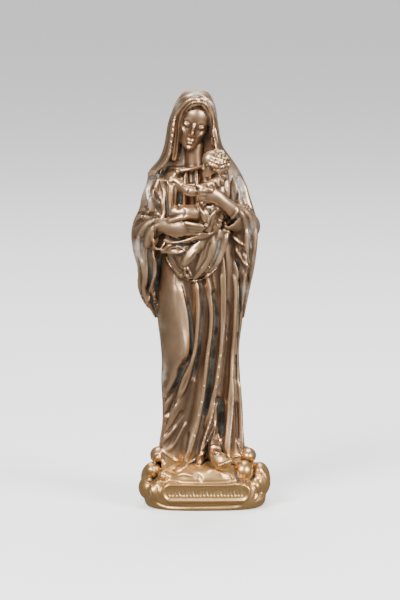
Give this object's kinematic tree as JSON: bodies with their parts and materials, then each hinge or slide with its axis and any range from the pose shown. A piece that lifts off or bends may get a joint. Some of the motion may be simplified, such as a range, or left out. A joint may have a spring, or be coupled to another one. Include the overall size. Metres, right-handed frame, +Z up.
{
  "type": "madonna and child statuette",
  "caption": "Small bronze-finish statuette of a veiled mother holding her child, standing on a bank of cloud with a nameplate.",
  "frame": {"origin": "on the flat underside, below the middle of the bank of cloud", "axes": "+Z up, -Y towards the viewer the figure faces, +X to that viewer's right"},
  "size_m": [0.0281, 0.0226, 0.085],
  "materials": {
    "patinated_bronze": "cold-cast bronze powder in resin, rubbed bright on the folds, dark brown to grey-green patina in the hollows"
  },
  "bodies": {
    "root": {"madonna_and_child": "patinated_bronze"}
  },
  "joints": []
}
